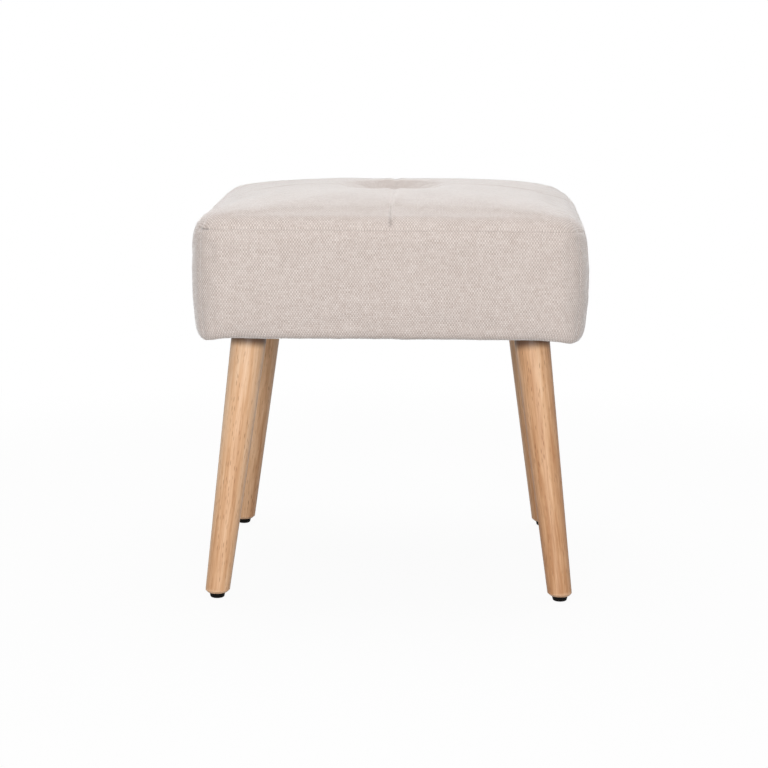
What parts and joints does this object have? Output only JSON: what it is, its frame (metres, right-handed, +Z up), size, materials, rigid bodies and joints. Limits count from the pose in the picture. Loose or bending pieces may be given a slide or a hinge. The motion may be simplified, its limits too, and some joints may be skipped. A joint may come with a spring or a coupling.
{
  "type": "low stool",
  "caption": "Low upholstered stool: square padded seat with a crowned top and a central tuft, on splayed, tapered round wooden legs with small glides.",
  "frame": {"origin": "on the floor, under the middle of the seat", "axes": "+Z up, from the floor to the seat; -Y towards the front; +X to the right as seen from the front"},
  "size_m": [0.4602, 0.4602, 0.4828],
  "materials": {
    "cover": "light beige linen-look plain weave",
    "wadding": "white polyester fibre wrap",
    "foam": null,
    "plywood": "unfinished birch plywood",
    "frame_wood": "unfinished pine",
    "leg_wood": "pale honey-coloured hardwood, oiled, satin",
    "glide_plastic": "black moulded plastic",
    "dust_cloth": "thin black nonwoven cloth",
    "steel": "zinc-plated steel",
    "anchor_plastic": "off-white moulded plastic",
    "twine": "waxed linen-coloured twine"
  },
  "bodies": {
    "root": {"back_rail": "frame_wood", "corner_block_back_left": "frame_wood", "corner_block_back_right": "frame_wood", "corner_block_front_left": "frame_wood", "corner_block_front_right": "frame_wood", "corner_block_screws": "steel", "cover_back_panel": "cover", "cover_front_panel": "cover", "cover_left_panel": "cover", "cover_right_panel": "cover", "cover_staples": "steel", "cover_top_panel": "cover", "deck_screws": "steel", "dust_cover": "dust_cloth", "dust_cover_staples": "steel", "foam_pad": "foam", "front_rail": "frame_wood", "glide_back_left": "glide_plastic", "glide_back_right": "glide_plastic", "glide_front_left": "glide_plastic", "glide_front_right": "glide_plastic", "glide_nails": "steel", "hanger_bolts": "steel", "left_rail": "frame_wood", "leg_back_left": "leg_wood", "leg_back_right": "leg_wood", "leg_front_left": "leg_wood", "leg_front_right": "leg_wood", "rail_screws": "steel", "right_rail": "frame_wood", "seat_deck": "plywood", "tee_nuts": "steel", "tuft_anchor": "anchor_plastic", "tuft_twine": "twine", "wadding_wrap": "wadding"}
  },
  "joints": []
}
